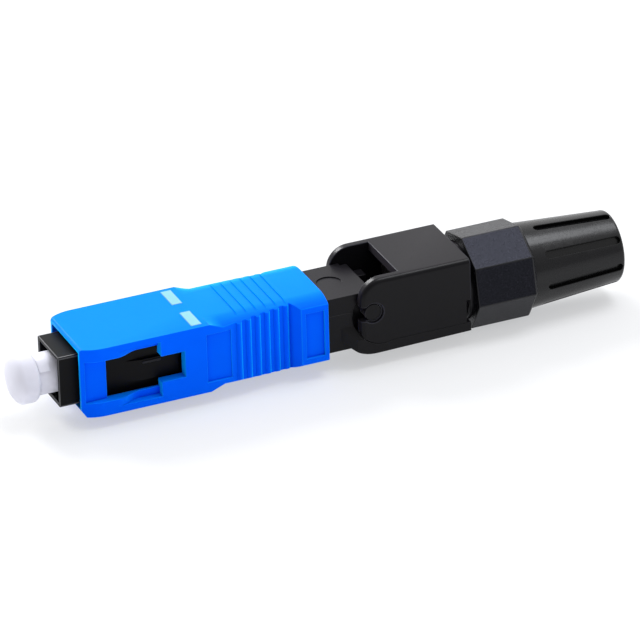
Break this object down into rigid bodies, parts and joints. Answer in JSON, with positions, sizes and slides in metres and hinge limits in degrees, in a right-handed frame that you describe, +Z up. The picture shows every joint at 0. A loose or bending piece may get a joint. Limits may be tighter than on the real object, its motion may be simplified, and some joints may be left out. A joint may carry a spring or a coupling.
{
  "type": "field-fit fibre connector",
  "caption": "Push-pull square plug for optical fibre, fitted to flat drop cable on site, with a dust cap, a hinged cable cover and a threaded tail nut with a tapered boot.",
  "frame": {"origin": "on the ferrule axis, in the front plane of the outer housing", "axes": "+X along the ferrule axis towards the cable boot, +Z up, away from the key"},
  "size_m": [0.0644, 0.01, 0.01],
  "materials": {
    "cap_white": "satin, slightly milky",
    "housing_blue": "semi-gloss",
    "mark_white": "matt",
    "body_black": "fine satin grain",
    "nut_black": "spark-eroded grain on the flats, smooth boot",
    "zirconia": "polished",
    "nickel_steel": "satin",
    "spring_steel": "drawn wire",
    "fibre_glass": "clear",
    "splice_resin": "smooth",
    "guide_plastic": "smooth",
    "collet_plastic": "satin"
  },
  "bodies": {
    "body": {"main_body": "body_black", "plug_frame": "body_black", "lower_jaw": "nickel_steel", "fibre_guide": "guide_plastic", "ferrule_spring": "spring_steel"},
    "housing": {"outer_housing": "housing_blue", "position_mark_near": "mark_white", "position_mark_far": "mark_white"},
    "ferrule_unit": {"ferrule": "zirconia", "ferrule_holder": "nickel_steel", "fibre_stub": "fibre_glass", "splice_base": "splice_resin", "splice_front_lid": "splice_resin", "splice_rear_lid": "splice_resin", "splice_clip": "spring_steel"},
    "cap": {"dust_cap": "cap_white"},
    "cover": {"flip_cover": "body_black", "upper_jaw": "nickel_steel"},
    "collet": {"cable_collet": "collet_plastic"},
    "nut": {"tail_nut": "nut_black"}
  },
  "joints": [
    {"name": "housing_slide", "type": "slide", "parent": "body", "child": "housing", "axis": [1, 0, 0], "range_m": [0, 0.001]},
    {"name": "ferrule_float", "type": "slide", "parent": "body", "child": "ferrule_unit", "axis": [1, 0, 0], "range_m": [0, 0.001], "stiffness_N_per_m": 2000, "springref_m": -0.0039, "deforming": ["ferrule_spring"]},
    {"name": "cap_pull", "type": "slide", "parent": "ferrule_unit", "child": "cap", "axis": [-1, 0, 0], "range_m": [0, 0.015]},
    {"name": "cover_hinge", "type": "hinge", "parent": "body", "child": "cover", "pos_m": [0.0307, 0, 0.00093], "axis": [0, -1, 0], "range_deg": [0, 90]},
    {"name": "collet_feed", "type": "slide", "parent": "body", "child": "collet", "axis": [1, 0, 0], "range_m": [0, 0.005]},
    {"name": "nut_turn", "type": "hinge", "parent": "collet", "child": "nut", "pos_m": [0.045, 0, 0], "axis": [1, 0, 0], "range_deg": [0, 2400]}
  ],
  "couplings": [
    {"joint": "nut_turn", "follows": "collet_feed", "rad_per_m": 8377.5}
  ]
}
